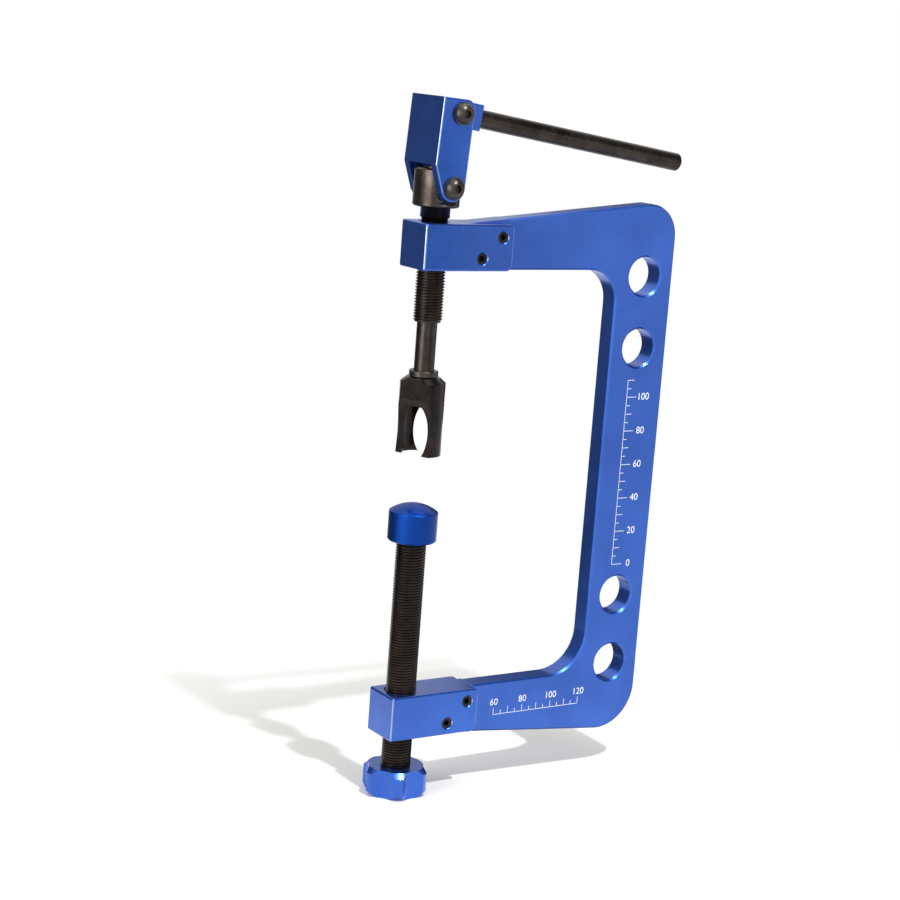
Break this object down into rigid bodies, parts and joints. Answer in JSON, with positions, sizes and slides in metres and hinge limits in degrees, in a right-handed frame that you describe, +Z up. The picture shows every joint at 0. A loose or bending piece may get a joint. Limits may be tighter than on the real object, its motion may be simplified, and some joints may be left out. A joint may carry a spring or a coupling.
{
  "type": "valve spring compressor",
  "caption": "Hand tool with a C-frame, a threaded domed anvil below and a toggle-lever plunger with a windowed fork above, for compressing valve springs.",
  "frame": {"origin": "on the common axis of both screws, at the knob's bottom face", "axes": "+Z up along the screws from the knob to the lever, +X from the screws to the frame's spine, +Y through the frame's thickness, away from the front side"},
  "size_m": [0.1816, 0.0424, 0.3895],
  "materials": {
    "blue_frame": "satin blue anodised plate",
    "blue_blocks": "satin blue anodised bar",
    "blue_trim": "bright blue anodised, turned",
    "black_steel": "black oxide, turned",
    "black_thread": "black oxide, oiled threads",
    "black_fasteners": "black oxide fasteners",
    "bush_steel": "oiled sintered bearing steel",
    "spring_steel": "bright spring steel"
  },
  "bodies": {
    "frame": {"c_frame": "blue_frame", "upper_block": "blue_blocks", "lower_block": "blue_blocks", "upper_block_screws": "black_fasteners", "lower_block_screws": "black_fasteners"},
    "anvil": {"anvil_cap": "blue_trim", "anvil_retaining_ring": "spring_steel"},
    "anvil_screw": {"lower_screw": "black_thread", "knob": "blue_trim", "knob_set_screw": "black_fasteners"},
    "bush": {"guide_bush": "bush_steel"},
    "sleeve": {"threaded_sleeve": "black_thread", "lower_pivot_screws": "black_fasteners", "lower_pivot_washers": "black_fasteners"},
    "housing": {"lever_housing": "blue_blocks"},
    "handle": {"handle_block": "blue_blocks", "handle_rod": "black_steel", "handle_set_screw": "black_fasteners", "upper_pivot_screws": "black_fasteners", "upper_pivot_washers": "black_fasteners", "toggle_pin": "spring_steel"},
    "plunger": {"plunger_rod": "black_steel", "plunger_eye": "black_steel", "thrust_collar": "black_steel"},
    "fork": {"fork_adapter": "black_steel", "fork_set_screw": "black_fasteners"}
  },
  "joints": [
    {"name": "anvil_travel", "type": "slide", "parent": "frame", "child": "anvil", "axis": [0, 0, 1], "range_m": [-0.0864, 0.0179]},
    {"name": "screw_turn", "type": "hinge", "parent": "anvil", "child": "anvil_screw", "pos_m": [0, 0, 0.1], "axis": [0, 0, 1], "range_deg": [-19595, 4061]},
    {"name": "sleeve_travel", "type": "slide", "parent": "frame", "child": "bush", "axis": [0, 0, 1], "range_m": [-0.00195, 0.028]},
    {"name": "sleeve_turn", "type": "hinge", "parent": "bush", "child": "sleeve", "pos_m": [0, 0, 0.3], "axis": [0, 0, 1], "range_deg": [-443, 6351]},
    {"name": "housing_tilt", "type": "hinge", "parent": "sleeve", "child": "housing", "pos_m": [0, 0, 0.3419], "axis": [0, -1, 0], "range_deg": [0, 22.5]},
    {"name": "handle_swing", "type": "hinge", "parent": "housing", "child": "handle", "pos_m": [0.0026, 0, 0.38111], "axis": [0, -1, 0], "range_deg": [0, 70]},
    {"name": "plunger_stroke", "type": "slide", "parent": "sleeve", "child": "plunger", "axis": [0, 0, 1], "range_m": [0, 0.00775]},
    {"name": "fork_swivel", "type": "hinge", "parent": "plunger", "child": "fork", "pos_m": [0, 0, 0.2335], "axis": [0, 0, 1], "continuous": true}
  ],
  "couplings": [
    {"joint": "screw_turn", "follows": "anvil_travel", "rad_per_m": 3957.9},
    {"joint": "sleeve_turn", "follows": "sleeve_travel", "rad_per_m": 3957.9},
    {"joint": "housing_tilt", "follows": "handle_swing", "ratio": 0.32},
    {"joint": "plunger_stroke", "follows": "handle_swing", "m_per_rad": 0.0063025}
  ]
}
